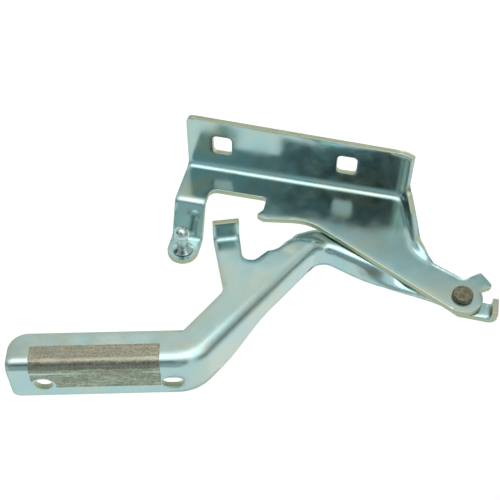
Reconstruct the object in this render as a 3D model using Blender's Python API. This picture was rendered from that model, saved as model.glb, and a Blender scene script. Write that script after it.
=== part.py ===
"""Hood hinge: a body bracket and a gooseneck arm pressed from sheet steel, on one riveted pivot.

Frame: the origin lies on the bracket's mounting face, midway between its two bolt holes. +X runs along the
bolt line away from the pivot, +Y runs behind the bracket's web, and +Z rises from the mounting face.
"""
import math

import bmesh
import bpy
from mathutils import Matrix, Vector

# Sheet and general clearances, in metres
SHEET = 0.0035
FIT_GAP = 0.0003
SMOOTH_ANGLE = math.radians(30)
ARC_STEP = math.radians(9)
BEND_STEPS = 7

# Bracket: mounting flange
BOLT_SPACING = 0.0830
BOLT_HOLE_WIDTH = 0.0130
BOLT_HOLE_HEIGHT = 0.0146
BOLT_HOLE_CORNER = 0.0030
BOLT_LINE_TO_WEB = 0.0202
BRACKET_LEFT_END = 0.0653
BRACKET_RIGHT_END = -0.0814
FLANGE_HEIGHT_LEFT = 0.0405
FLANGE_HEIGHT_RIGHT = 0.0373
FLANGE_CORNER = 0.0042
BRACKET_BEND_RADIUS = 0.0035
BRACKET_CORNER_RADIUS = 0.0085

# Bracket: side flange, which is cut low past the corner and flattens into the neck
SIDE_TILT = math.radians(15.8)
SIDE_CUT_TURN = math.radians(44)
SIDE_CUT_RADIUS = 0.0050
SIDE_TOP_HEIGHT = 0.0074
SIDE_FOOT_HEIGHT = 0.0040
SIDE_BEND_RADIUS = 0.0050
SIDE_FOOT_X = -0.0908
SIDE_FOOT_Z = 0.0491
SIDE_FOOT_RADIUS = 0.018
NECK_SLOPE = math.radians(24.7)
NECK_RUNOUT_LENGTH = 0.0162
NECK_STRIP_WIDTH = 0.0030

# Bracket: window, beak and belly of the web
WINDOW_TOP = 0.0244
WINDOW_LEFT_CORNER = 0.0055
WINDOW_RIGHT_X = 0.0066
WINDOW_RIGHT_CORNER = 0.0025
WINDOW_RIGHT_END_Z = 0.0352
BEAK_X = 0.0102
BEAK_Z = 0.0406
BEAK_RADIUS = 0.0015
BEAK_FOOT_X = 0.0052
BEAK_FOOT_Z = 0.0430
BELLY_X = -0.0240
BELLY_Z = 0.0381
BELLY_RADIUS = 0.030

# Bracket: tongue and ball stud pad
TONGUE_WIDTH = 0.0204
TONGUE_BEND_Z = 0.0350
TONGUE_DROP = 0.0235
TONGUE_ANGLE = math.radians(65)
TONGUE_OUTER_RADIUS = 0.0055
TONGUE_INNER_RADIUS = 0.0020
STUD_Z = 0.0600

# Pivot
PIVOT_X = -0.1245
PIVOT_Z = 0.0780
BRACKET_BOSS_RADIUS = 0.0123
ARM_BOSS_RADIUS = 0.0127
WASHER_THICKNESS = 0.0004
WASHER_RADIUS = 0.0095
RIVET_SHANK_RADIUS = 0.0040
RIVET_HEAD_RADIUS = 0.00625
RIVET_HEAD_HEIGHT = 0.0030
RIVET_TAIL_RADIUS = 0.0072
RIVET_TAIL_HEIGHT = 0.0026
BUSH_WALL = 0.0011

# Stop finger on the bracket and stop lug on the arm, as angles and distances about the pivot
FINGER_REACH = 0.0214
FINGER_ANGLE = math.radians(33.5)
FINGER_TOP_REACH = 0.0233
FINGER_TOP_ANGLE = math.radians(64.9)
LUG_DISTANCE = 0.0163
LUG_ANGLE = math.radians(13.9)
LUG_START = -0.0012
LUG_WIDTH = 0.0117
LUG_RISE = 0.0060
LUG_BEND_RADIUS = 0.0015

# Arm, in its own frame: x from the pivot to the far end, z towards the hood flange
ARM_REST_ANGLE = math.radians(14.46)
ARM_LENGTH = 0.2666
ARM_BEND_Z = 0.0377
ARM_WEB_TOP_Z = 0.0202
ARM_STEP_X = 0.1665
ARM_END_CORNER = 0.0110
ARM_BEND_RADIUS = 0.0055
ARM_FLANGE_DEPTH = 0.0303
ARM_NECK_DEPTH = 0.0196
ARM_FLANGE_CORNER = 0.0045
NARROWING_START_X = 0.1480
NARROWING_END_X = 0.1195
ELBOW_X = 0.1590
ELBOW_RADIUS = 0.0250
DIAGONAL_ANGLE = math.radians(48.7)
APEX_X = 0.0808
APEX_Z = -0.0459
APEX_RADIUS = 0.0110
RUNOUT_ANGLE = math.radians(31.5)
RUNOUT_END_X = 0.0060
RUNOUT_REACH = 0.0096
ARM_HOLE_FROM_END = 0.0192
ARM_HOLE_SPACING = 0.0743
ARM_HOLE_DEPTH = 0.0184
ARM_HOLE_RADIUS = 0.0050
ARM_SLOT_DEPTH = 0.0195
ARM_SLOT_LENGTH = 0.0127
ARM_SLOT_WIDTH = 0.0095

# Arm: tab with a bent tip, notch, and the joggle that steps the web back behind the bracket
TAB_LEFT = (0.1485, -0.0479)
TAB_RIGHT = (0.1321, -0.0497)
TAB_CROTCH = (0.1429, -0.0081)
TAB_CROTCH_RADIUS = 0.008
TAB_TIP_HEIGHT = 0.0130
TAB_BEND_RADIUS = 0.0020
NOTCH_LEFT = (0.1307, -0.0321)
NOTCH_RIGHT = (0.1230, -0.0321)
NOTCH_RADIUS = 0.0054
JOGGLE_START = (0.1160, -0.0382)
JOGGLE_KNEE = (0.1092, -0.0389)
JOGGLE_BELLY = (0.0965, -0.0500)
JOGGLE_FOOT_START = (0.1143, -0.0432)
JOGGLE_FOOT_KNEE = (0.1093, -0.0440)
JOGGLE_FOOT_BELLY = (0.0992, -0.0536)
JOGGLE_FOOT_SIDE = (0.0840, -0.0525)
JOGGLE_COLUMNS = 16
JOGGLE_ROWS = 10
JOGGLE_FIRST_STEP = 4
JOGGLE_BACK_EDGE = [(0.0760, -0.0605), (0.0854, -0.0597), (0.0965, -0.0562)]

# Ball stud
BALL_RADIUS = 0.0050
BALL_STAND = 0.0150
STUD_NECK_RADIUS = 0.0038
STUD_RING_RADIUS = 0.0044
STUD_COLLAR_RADIUS = 0.0068
STUD_COLLAR_HEIGHT = 0.0026
STUD_SHANK_RADIUS = 0.0040
STUD_TAIL_RADIUS = 0.0058
STUD_TAIL_HEIGHT = 0.0016

# Tape over the arm's bend
TAPE_FROM_END = 0.0128
TAPE_LENGTH = 0.0739
TAPE_WEB_Z = 0.0295
TAPE_DEPTH = 0.0210
TAPE_THICKNESS = 0.0004
TAPE_HOLE_MARGIN = 0.0022

# Sizes that follow from the ones above
ARM_STEP = SHEET + WASHER_THICKNESS + 2 * FIT_GAP
TONGUE_RIGHT = BRACKET_LEFT_END - TONGUE_WIDTH
TONGUE_CENTRE_X = BRACKET_LEFT_END - TONGUE_WIDTH / 2
BRACKET_BEND_Z = SHEET + BRACKET_BEND_RADIUS
BUSH_INNER_RADIUS = RIVET_SHANK_RADIUS + FIT_GAP
BUSH_OUTER_RADIUS = BUSH_INNER_RADIUS + BUSH_WALL
ARM_BORE_RADIUS = BUSH_OUTER_RADIUS + FIT_GAP
ARM_FACE_Z = ARM_BEND_Z + ARM_BEND_RADIUS
ARM_HOLE_X = ARM_LENGTH - ARM_HOLE_FROM_END
ARM_SLOT_X = ARM_HOLE_X - ARM_HOLE_SPACING
TAPE_END_X = ARM_LENGTH - TAPE_FROM_END
TAPE_START_X = TAPE_END_X - TAPE_LENGTH


def direction(angle):
    """Unit vector at an angle from the first axis towards the second."""
    return Vector((math.cos(angle), math.sin(angle)))


def arc(centre, radius, start, end):
    """Points on a circle from one angle to another."""
    steps = max(2, math.ceil(abs(end - start) / ARC_STEP))
    return [centre + radius * direction(start + (end - start) * step / steps) for step in range(steps + 1)]


def path(corners, closed=False, arc_step=ARC_STEP):
    """Points and travel directions along corners (x, z, radius), with an arc wherever a radius is given."""
    result = []
    count = len(corners)
    for index, (x, z, radius) in enumerate(corners):
        corner = Vector((x, z))
        arriving = corner - Vector(corners[index - 1][:2])
        leaving = Vector(corners[(index + 1) % count][:2]) - corner
        if not closed and index == 0:
            arriving = leaving
        if not closed and index == count - 1:
            leaving = arriving
        arriving.normalize()
        leaving.normalize()
        turn = arriving.angle_signed(leaving, 0) * -1
        if radius == 0 or abs(turn) < 0.001:
            result.append((corner, (arriving + leaving).normalized()))
            continue
        start = corner - arriving * radius * math.tan(abs(turn) / 2)
        side = Vector((-arriving.y, arriving.x)) * math.copysign(1, turn)
        centre = start + side * radius
        steps = max(2, math.ceil(abs(turn) / arc_step))
        for step in range(steps + 1):
            spin = Matrix.Rotation(turn * step / steps, 2)
            result.append((centre + spin @ (start - centre), spin @ arriving))
    return result


def rounded(corners, closed=False):
    """The points of a path."""
    return [point for point, heading in path(corners, closed)]


def smooth_step(share):
    """0 to 1 with level ends."""
    share = min(1, max(0, share))
    return share * share * (3 - 2 * share)


def point_along(line, share):
    """The point at a share of a 2D line's length."""
    lengths = [(after - before).length for before, after in zip(line, line[1:])]
    left = share * sum(lengths)
    for before, after, length in zip(line, line[1:], lengths):
        if left <= length:
            return before.lerp(after, left / length)
        left -= length
    return line[-1]


def corner_drop(radius, from_end):
    """How far a rounded corner lies below its edge, at a distance from the end."""
    inset = min(radius, max(0, radius - from_end))
    return radius - math.sqrt(max(0, radius ** 2 - inset ** 2))


def flat(line, level):
    """A 2D line set on the plane y = level."""
    return [Vector((point.x, level, point.y)) for point in line]


def bend_column(point, outward, level, radius, angle, reach, back):
    """One column of a bend: rows round the arc, then a straight row for each length in reach."""
    rows = []
    for step in range(BEND_STEPS + 1):
        turn = angle * step / BEND_STEPS
        foot = point + outward * radius * math.sin(turn)
        rows.append(Vector((foot.x, level + back * radius * (1 - math.cos(turn)), foot.y)))
    run = Vector((outward.x * math.cos(angle), back * math.sin(angle), outward.y * math.cos(angle)))
    last = rows[-1]
    return rows + [last + run * length for length in reach]


def add_grid(mesh, columns):
    """Quads between neighbouring columns, as far as the shorter of the two reaches."""
    verts = [[mesh.verts.new(point) for point in column] for column in columns]
    for left, right in zip(verts, verts[1:]):
        for row in range(min(len(left), len(right)) - 1):
            mesh.faces.new((left[row], left[row + 1], right[row + 1], right[row]))


def add_face(mesh, points):
    """One flat face inside a closed line of points."""
    mesh.faces.new([mesh.verts.new(point) for point in points])


def new_object(name, mesh, material):
    """Object from a bmesh, smooth but for the edges that are sharper than the limit."""
    data = bpy.data.meshes.new(name)
    mesh.to_mesh(data)
    mesh.free()
    data.shade_smooth()
    data.set_sharp_from_angle(angle=SMOOTH_ANGLE)
    if material:
        data.materials.append(material)
    part = bpy.data.objects.new(name, data)
    bpy.context.collection.objects.link(part)
    return part


def sheet_object(name, mesh, thickness, material):
    """Sheet whose viewed side is the surface in mesh and whose thickness lies behind it."""
    bmesh.ops.remove_doubles(mesh, verts=mesh.verts, dist=0.00001)
    bmesh.ops.recalc_face_normals(mesh, faces=mesh.faces)
    web = max(mesh.faces, key=lambda face: face.calc_area() * abs(face.normal.y))
    if web.normal.y > 0:
        bmesh.ops.reverse_faces(mesh, faces=mesh.faces)
    part = new_object(name, mesh, material)
    solid = part.modifiers.new("Sheet", "SOLIDIFY")
    solid.thickness = thickness
    solid.offset = -1
    solid.use_even_offset = True
    solid.use_quality_normals = True
    return part


def prism(name, outline, start, end):
    """Cutter: a closed outline in x and z, drawn out along y from start to end."""
    mesh = bmesh.new()
    face = mesh.faces.new([mesh.verts.new((point.x, start, point.y)) for point in outline])
    drawn = bmesh.ops.extrude_face_region(mesh, geom=[face])
    moved = [item for item in drawn["geom"] if isinstance(item, bmesh.types.BMVert)]
    bmesh.ops.translate(mesh, verts=moved, vec=(0, end - start, 0))
    bmesh.ops.recalc_face_normals(mesh, faces=mesh.faces)
    cutter = new_object(name, mesh, None)
    cutter.hide_render = True
    cutter.display_type = "WIRE"
    return cutter


def cut(part, cutter, location, upright=False):
    """Exact Boolean cut at a place in the part's own frame; upright turns the cutter's axis to z."""
    cutter.parent = part
    cutter.location = location
    if upright:
        cutter.rotation_euler.x = math.pi / 2
    tool = part.modifiers.new(cutter.name, "BOOLEAN")
    tool.operation = "DIFFERENCE"
    tool.solver = "EXACT"
    tool.object = cutter


def rectangle(width, height, radius):
    """Closed outline of a rectangle with rounded corners, about the origin."""
    x = width / 2
    z = height / 2
    return rounded([(-x, -z, radius), (x, -z, radius), (x, z, radius), (-x, z, radius)], closed=True)


def circle(radius, steps=40):
    """Closed outline of a circle about the origin."""
    return [radius * direction(2 * math.pi * step / steps) for step in range(steps)]


def slot(length, width):
    """Closed outline of a slot with round ends along x."""
    half = (length - width) / 2
    right = arc(Vector((half, 0)), width / 2, -math.pi / 2, math.pi / 2)
    left = arc(Vector((-half, 0)), width / 2, math.pi / 2, 3 * math.pi / 2)
    return right + left


def turned(name, profile, material, steps=40):
    """Solid of revolution about y from (radius, y) points; a profile that leaves the axis makes a ring."""
    mesh = bmesh.new()
    rings = []
    for radius, y in profile:
        outline = circle(radius, steps) if radius > 0 else [Vector((0, 0))]
        rings.append([mesh.verts.new((point.x, y, point.y)) for point in outline])
    pairs = list(zip(rings, rings[1:]))
    if profile[0][0] > 0:
        pairs.append((rings[-1], rings[0]))
    for lower, upper in pairs:
        for step in range(steps):
            after = (step + 1) % steps
            if len(lower) == 1:
                mesh.faces.new((lower[0], upper[step], upper[after]))
            elif len(upper) == 1:
                mesh.faces.new((lower[step], lower[after], upper[0]))
            else:
                mesh.faces.new((lower[step], lower[after], upper[after], upper[step]))
    bmesh.ops.recalc_face_normals(mesh, faces=mesh.faces)
    return new_object(name, mesh, material)


def tangent_angle(point, centre, radius, side):
    """Angle on a circle where the tangent from an outside point touches it."""
    away = point - centre
    return math.atan2(away.y, away.x) + side * math.acos(radius / away.length)


def bracket_bend_path():
    """Line round the web along the mounting flange, the corner, the side flange and its run-out."""
    tilt = Vector((-math.sin(SIDE_TILT), math.cos(SIDE_TILT)))
    neck = Vector((-math.cos(NECK_SLOPE), math.sin(NECK_SLOPE)))
    foot = Vector((SIDE_FOOT_X, SIDE_FOOT_Z))
    corner = foot - tilt * (SIDE_FOOT_Z - BRACKET_BEND_Z) / tilt.y
    corners = [(BRACKET_LEFT_END, BRACKET_BEND_Z, 0)]
    for share in (0.03, 0.12, 0.3, 0.55, 1.0):
        corners.append((BRACKET_LEFT_END - share * FLANGE_CORNER, BRACKET_BEND_Z, 0))
    corners.append((corner.x, corner.y, BRACKET_CORNER_RADIUS - BRACKET_BEND_RADIUS))
    for share in (0.4, 0.6):
        corners.append((*corner.lerp(foot, share), 0))
    corners.append((foot.x, foot.y, SIDE_FOOT_RADIUS))
    for share in (0.6, 0.7, 0.8, 0.9, 1.0):
        corners.append((*(foot + neck * NECK_RUNOUT_LENGTH * share), 0))
    return path(corners, arc_step=0.8 * ARC_STEP)


def side_strip_width(height, radius):
    """Width round the bend of a strip that is bent up square to a height."""
    return height + radius * (math.pi / 2 - 1)


def bracket_stations():
    """Stations of the bend: start on the web, outward direction, radius, angle and the strip's width."""
    bend = bracket_bend_path()
    side = [point for point, heading in bend if heading.y > math.cos(SIDE_TILT) - 0.0001]
    cut_place = None
    stations = []
    for point, heading in bend:
        outward = Vector((-heading.y, heading.x))
        past_corner = smooth_step((point.y - BRACKET_BEND_Z) / (side[0].y - BRACKET_BEND_Z))
        down = min(1, max(0, (point.y - side[0].y) / (side[-1].y - side[0].y)))
        fade = max(0, (side[-1].x - point.x) / (side[-1].x - bend[-1][0].x))
        radius = BRACKET_BEND_RADIUS + (SIDE_BEND_RADIUS - BRACKET_BEND_RADIUS) * past_corner
        inset = radius - BRACKET_BEND_RADIUS
        inset += (NECK_STRIP_WIDTH - inset) * smooth_step(fade)
        height = SIDE_TOP_HEIGHT + (SIDE_FOOT_HEIGHT - SIDE_TOP_HEIGHT) * down
        inner = point + outward * BRACKET_BEND_RADIUS
        if cut_place is None and heading.y > math.sin(SIDE_CUT_TURN):
            cut_place = inner
        distance = (inner - cut_place).length if cut_place else 0
        height += corner_drop(SIDE_CUT_RADIUS, distance)
        strip = side_strip_width(height, radius)
        angle = min(math.pi / 2, (strip - FIT_GAP) / radius)
        if fade > 0:
            strip += (NECK_STRIP_WIDTH - strip) * fade ** 2.5
            angle = max(0.0001, angle * (1 - fade ** 2))
            radius = (strip - FIT_GAP) / angle
        stations.append((point - outward * inset, outward, radius, angle, strip))
    return stations


def side_column(station):
    """Column of the low side flange at a station."""
    start, outward, radius, angle, strip = station
    return bend_column(start, outward, 0, radius, angle, (strip - radius * angle,), -1)


def bracket_flanges(mesh, stations):
    """Mounting flange as far as the cut in the corner, then the low side flange that flattens at the neck."""
    cut_turn = math.cos(math.pi / 2 + SIDE_CUT_TURN)
    cut_at = next(index for index, item in enumerate(stations) if item[1].x < cut_turn)
    cut_level = SIDE_TOP_HEIGHT + SIDE_CUT_RADIUS
    top = []
    for start, outward, radius, angle, strip in stations[:cut_at + 1]:
        share = (start.x - BRACKET_RIGHT_END) / (BRACKET_LEFT_END - BRACKET_RIGHT_END)
        height = FLANGE_HEIGHT_RIGHT + (FLANGE_HEIGHT_LEFT - FLANGE_HEIGHT_RIGHT) * max(0, share)
        height -= corner_drop(FLANGE_CORNER, BRACKET_LEFT_END - start.x)
        reach = (cut_level - radius, height - radius)
        top.append(bend_column(start, outward, 0, radius, math.pi / 2, reach, -1))
    add_grid(mesh, top)
    add_grid(mesh, [side_column(station) for station in stations[cut_at:]])


def bracket_web(stations):
    """Outline of the web: bend, neck, stop finger, boss, belly, beak, window and tongue."""
    pivot = Vector((PIVOT_X, PIVOT_Z))
    line = [station[0] for station in stations[:-1]]
    line += [Vector((point.x, point.z)) for point in side_column(stations[-1])]
    strip_end = line[-1]
    neck = Vector((-math.cos(NECK_SLOPE), math.sin(NECK_SLOPE)))
    hollow = strip_end + neck * (strip_end.x - PIVOT_X) / -neck.x
    finger_top = pivot + FINGER_TOP_REACH * direction(math.pi + FINGER_TOP_ANGLE)
    finger_tip = pivot + FINGER_REACH * direction(math.pi + FINGER_ANGLE)
    belly_touch = tangent_angle(Vector((BELLY_X, BELLY_Z)), pivot, BRACKET_BOSS_RADIUS, 1)
    boss = arc(pivot, BRACKET_BOSS_RADIUS, math.pi + FINGER_ANGLE, belly_touch)
    finger = rounded([
        (strip_end.x, strip_end.y, 0),
        (hollow.x, hollow.y, 0.004),
        (finger_top.x, finger_top.y, 0.0010),
        (finger_tip.x, finger_tip.y, 0.0022),
        (boss[0].x, boss[0].y, 0),
    ])
    lower = rounded([
        (boss[-1].x, boss[-1].y, 0),
        (BELLY_X, BELLY_Z, BELLY_RADIUS),
        (BEAK_FOOT_X, BEAK_FOOT_Z, 0.004),
        (BEAK_X, BEAK_Z, BEAK_RADIUS),
        (WINDOW_RIGHT_X, WINDOW_RIGHT_END_Z, 0.003),
        (WINDOW_RIGHT_X, WINDOW_TOP, WINDOW_RIGHT_CORNER),
        (TONGUE_RIGHT, WINDOW_TOP, WINDOW_LEFT_CORNER),
        (TONGUE_RIGHT, TONGUE_BEND_Z, 0),
    ])
    return line + finger[1:] + boss[1:-1] + lower + [Vector((BRACKET_LEFT_END, TONGUE_BEND_Z))]


def tongue_profile():
    """Side view (z, y) of the tongue's joggle, from the web's face back to the pad's face."""
    profile = []
    for step in range(BEND_STEPS + 1):
        turn = TONGUE_ANGLE * step / BEND_STEPS
        profile.append((math.sin(turn) * TONGUE_OUTER_RADIUS, (1 - math.cos(turn)) * TONGUE_OUTER_RADIUS))
    bend_drop = (1 - math.cos(TONGUE_ANGLE)) * (TONGUE_OUTER_RADIUS + TONGUE_INNER_RADIUS)
    run = (TONGUE_DROP - bend_drop) / math.sin(TONGUE_ANGLE)
    start_z = profile[-1][0] + run * math.cos(TONGUE_ANGLE)
    start_y = profile[-1][1] + run * math.sin(TONGUE_ANGLE)
    for step in range(BEND_STEPS + 1):
        turn = TONGUE_ANGLE * (1 - step / BEND_STEPS)
        across = math.sin(TONGUE_ANGLE) - math.sin(turn)
        depth = math.cos(turn) - math.cos(TONGUE_ANGLE)
        profile.append((start_z + across * TONGUE_INNER_RADIUS, start_y + depth * TONGUE_INNER_RADIUS))
    return [(TONGUE_BEND_Z + z, y) for z, y in profile]


def bracket_tongue(mesh):
    """Joggled tongue with a round pad for the ball stud."""
    profile = tongue_profile()
    add_grid(mesh, [[Vector((x, y, z)) for z, y in profile] for x in (BRACKET_LEFT_END, TONGUE_RIGHT)])
    pad_start = profile[-1][0]
    end = arc(Vector((TONGUE_CENTRE_X, STUD_Z)), TONGUE_WIDTH / 2, math.pi, 0)
    outline = [Vector((BRACKET_LEFT_END, pad_start)), Vector((TONGUE_RIGHT, pad_start))] + end
    add_face(mesh, flat(outline, TONGUE_DROP))


def make_bracket(material):
    """Body bracket; local y = 0 is the viewed face of its web."""
    mesh = bmesh.new()
    stations = bracket_stations()
    bracket_flanges(mesh, stations)
    add_face(mesh, flat(bracket_web(stations), 0))
    bracket_tongue(mesh)
    bracket = sheet_object("body_bracket", mesh, SHEET, material)
    bracket.location.y = BOLT_LINE_TO_WEB
    for number, x in enumerate((-BOLT_SPACING / 2, BOLT_SPACING / 2), start=1):
        hole = rectangle(BOLT_HOLE_WIDTH, BOLT_HOLE_HEIGHT, BOLT_HOLE_CORNER)
        cutter = prism("bolt_hole_%d_cutter" % number, hole, -3 * SHEET, 3 * SHEET)
        cut(bracket, cutter, (x, -BOLT_LINE_TO_WEB, 0), upright=True)
    pivot_hole = prism("rivet_hole_cutter", circle(RIVET_SHANK_RADIUS + FIT_GAP), -SHEET, 2 * SHEET)
    cut(bracket, pivot_hole, (PIVOT_X, 0, PIVOT_Z))
    stud_hole = prism("stud_hole_cutter", circle(STUD_SHANK_RADIUS + FIT_GAP), -SHEET, 2 * SHEET)
    cut(bracket, stud_hole, (TONGUE_CENTRE_X, TONGUE_DROP, STUD_Z))
    return bracket


def offset_corner(corner, first_normal, second_normal, distance):
    """Corner of two lines after both move by a distance along their normals."""
    shift = (first_normal + second_normal) * distance / (1 + first_normal.dot(second_normal))
    return corner + shift


def arm_bend_path():
    """Start of the arm's bend: foot, elbow, diagonal, apex and run-out, as points, headings and steps."""
    foot_normal = Vector((0, 1))
    diagonal_normal = Vector((-math.sin(DIAGONAL_ANGLE), math.cos(DIAGONAL_ANGLE)))
    runout_normal = Vector((math.sin(RUNOUT_ANGLE), math.cos(RUNOUT_ANGLE)))
    elbow = offset_corner(Vector((ELBOW_X, ARM_FACE_Z)), foot_normal, diagonal_normal, -ARM_BEND_RADIUS)
    apex = offset_corner(Vector((APEX_X, APEX_Z)), diagonal_normal, runout_normal, -ARM_BEND_RADIUS)
    corners = [(ARM_LENGTH, ARM_BEND_Z, 0)]
    for share in (0.03, 0.12, 0.3, 0.55, 1.0):
        corners.append((ARM_LENGTH - share * ARM_FLANGE_CORNER, ARM_BEND_Z, 0))
    corners.append((elbow.x, elbow.y, ELBOW_RADIUS - ARM_BEND_RADIUS))
    for step in range(7):
        x = NARROWING_START_X + (NARROWING_END_X - NARROWING_START_X) * step / 6
        point = elbow.lerp(apex, (elbow.x - x) / (elbow.x - apex.x))
        corners.append((point.x, point.y, 0))
    corners.append((apex.x, apex.y, APEX_RADIUS + ARM_BEND_RADIUS))
    for share in (0.32, 0.42, 0.52, 0.62, 0.72, 0.82, 0.91, 1.0):
        x = apex.x + (RUNOUT_END_X - apex.x) * share
        corners.append((x, apex.y + (apex.x - x) * math.tan(RUNOUT_ANGLE), 0))
    return path(corners, arc_step=ARC_STEP / 2)


def joggle_first(bend):
    """Index on the bend where the web's joggle begins to cross it."""
    apex_start = next(index for index, item in enumerate(bend) if item[0].y < APEX_Z + 0.004)
    return apex_start + JOGGLE_FIRST_STEP - 1


def arm_flange(mesh, bend, first):
    """Flange along the whole bend: deep at the foot, shallow at the neck, flattening at the run-out."""
    last = first + JOGGLE_ROWS
    runout_start = bend[last][0].x
    columns = []
    for index, (point, heading) in enumerate(bend):
        outward = Vector((heading.y, -heading.x))
        level = ARM_STEP * smooth_step((index - first) / JOGGLE_ROWS)
        share = smooth_step((NARROWING_START_X - point.x) / (NARROWING_START_X - NARROWING_END_X))
        depth = ARM_FLANGE_DEPTH + (ARM_NECK_DEPTH - ARM_FLANGE_DEPTH) * share
        depth -= corner_drop(ARM_FLANGE_CORNER, ARM_LENGTH - point.x)
        reach = depth - ARM_BEND_RADIUS - level
        fade = max(0, (runout_start - point.x) / (runout_start - RUNOUT_END_X))
        angle = math.pi / 2 * (1 - smooth_step(fade))
        if fade > 0:
            reach = RUNOUT_REACH
        columns.append(bend_column(point, outward, level, ARM_BEND_RADIUS, angle, (reach,), 1))
    add_grid(mesh, columns)


def arm_joggle(mesh, bend, first):
    """Joggle from the foot's web back to the neck's web; returns the line at its foot."""
    crossing = [point for point, heading in bend[first:first + JOGGLE_ROWS + 1]]
    crest = rounded([
        (*JOGGLE_START, 0),
        (*JOGGLE_KNEE, 0.006),
        (*JOGGLE_BELLY, 0.010),
        (*crossing[0], 0),
    ])
    foot = rounded([
        (*JOGGLE_FOOT_START, 0),
        (*JOGGLE_FOOT_KNEE, 0.0015),
        (*JOGGLE_FOOT_BELLY, 0.008),
        (*JOGGLE_FOOT_SIDE, 0.006),
        (*crossing[-1], 0),
    ])
    columns = []
    crest_line = []
    foot_line = []
    for column in range(JOGGLE_COLUMNS):
        share = column / JOGGLE_COLUMNS
        upper = point_along(crest, share)
        lower = point_along(foot, share)
        crest_line.append(upper)
        foot_line.append(lower)
        rows = []
        for row in range(JOGGLE_ROWS + 1):
            place = upper.lerp(lower, row / JOGGLE_ROWS)
            rows.append(Vector((place.x, ARM_STEP * smooth_step(row / JOGGLE_ROWS), place.y)))
        columns.append(rows)
    rows = []
    for row, place in enumerate(crossing):
        rows.append(Vector((place.x, ARM_STEP * smooth_step(row / JOGGLE_ROWS), place.y)))
    columns.append(rows)
    add_grid(mesh, columns)
    return crest_line + [crossing[0]], foot_line + [crossing[-1]]


def arm_foot_web(bend, first, crest_line):
    """Outline of the web of the foot: bend, joggle, notch, tab and the stepped top edge."""
    line = [point for point, heading in bend[:first]]
    rest = rounded([
        (*crest_line[0], 0),
        (*NOTCH_RIGHT, NOTCH_RADIUS),
        (*NOTCH_LEFT, NOTCH_RADIUS),
        (*TAB_RIGHT, 0),
        (*TAB_LEFT, 0),
        (*TAB_CROTCH, TAB_CROTCH_RADIUS),
        (ARM_STEP_X, ARM_WEB_TOP_Z, 0.0015),
        (ARM_LENGTH, ARM_WEB_TOP_Z, ARM_END_CORNER),
        (ARM_LENGTH, ARM_BEND_Z, 0),
    ])
    return line + crest_line[::-1] + rest[1:-1]


def lug_line():
    """The two ends of the stop lug's bend line and its outward direction."""
    away = Vector((-math.cos(LUG_ANGLE), math.sin(LUG_ANGLE)))
    along = Vector((math.sin(LUG_ANGLE), math.cos(LUG_ANGLE)))
    near = away * LUG_DISTANCE + along * LUG_START
    return near, near + along * LUG_WIDTH, away


def arm_neck_web(bend, first, foot_line):
    """Outline of the web of the neck: joggle, run-out of the flange, lug, boss and upper edge."""
    pivot = Vector((0, 0))
    line = [point for point, heading in bend[first + JOGGLE_ROWS + 1:]]
    heading = bend[-1][1]
    strip_end = line[-1] + Vector((heading.y, -heading.x)) * RUNOUT_REACH
    lug_near, lug_far, away = lug_line()
    under = rounded([
        (*strip_end, 0),
        (0.0035, 0.0094, 0.003),
        (*lug_far, 0),
        (*lug_near, 0),
    ])
    upper_touch = tangent_angle(Vector(JOGGLE_BACK_EDGE[0]), pivot, ARM_BOSS_RADIUS, -1)
    boss = arc(pivot, ARM_BOSS_RADIUS, math.radians(173.5), upper_touch + 2 * math.pi)
    free_from = next(index for index, point in enumerate(foot_line) if point.x < 0.1010)
    back = rounded([
        (*boss[-1], 0),
        (*JOGGLE_BACK_EDGE[0], 0.005),
        (*JOGGLE_BACK_EDGE[1], 0.008),
        (*JOGGLE_BACK_EDGE[2], 0.008),
        (*foot_line[free_from], 0),
    ])
    return foot_line[free_from:] + line + under + boss + back[1:-1]


def make_arm(material):
    """Gooseneck arm; its origin is on the pivot's axis and local y = 0 is the viewed face of its foot."""
    mesh = bmesh.new()
    bend = arm_bend_path()
    first = joggle_first(bend)
    arm_flange(mesh, bend, first)
    crest_line, foot_line = arm_joggle(mesh, bend, first)
    add_face(mesh, flat(arm_foot_web(bend, first, crest_line), 0))
    add_face(mesh, flat(arm_neck_web(bend, first, foot_line), ARM_STEP))
    left = Vector(TAB_LEFT)
    right = Vector(TAB_RIGHT)
    across = (left - right).normalized()
    tip_normal = Vector((across.y, -across.x))
    tip_run = TAB_TIP_HEIGHT - TAB_BEND_RADIUS
    tip = [bend_column(end, tip_normal, 0, TAB_BEND_RADIUS, math.pi / 2, (tip_run,), -1) for end in (left, right)]
    add_grid(mesh, tip)
    lug_near, lug_far, away = lug_line()
    lug_run = LUG_RISE - LUG_BEND_RADIUS
    lug = []
    for end in (lug_near, lug_far):
        lug.append(bend_column(end, away, ARM_STEP, LUG_BEND_RADIUS, math.pi / 2, (lug_run,), -1))
    add_grid(mesh, lug)
    arm = sheet_object("gooseneck_arm", mesh, SHEET, material)
    arm.location = (PIVOT_X, BOLT_LINE_TO_WEB, PIVOT_Z)
    arm.rotation_euler.y = -ARM_REST_ANGLE
    bore = prism("arm_bore_cutter", circle(ARM_BORE_RADIUS), ARM_STEP - SHEET, ARM_STEP + 2 * SHEET)
    cut(arm, bore, (0, 0, 0))
    round_hole = prism("round_hole_cutter", circle(ARM_HOLE_RADIUS), -2 * SHEET, 2 * SHEET)
    cut(arm, round_hole, (ARM_HOLE_X, ARM_HOLE_DEPTH, ARM_FACE_Z), upright=True)
    slot_hole = prism("slot_cutter", slot(ARM_SLOT_LENGTH, ARM_SLOT_WIDTH), -2 * SHEET, 2 * SHEET)
    cut(arm, slot_hole, (ARM_SLOT_X, ARM_SLOT_DEPTH, ARM_FACE_Z), upright=True)
    return arm


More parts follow.
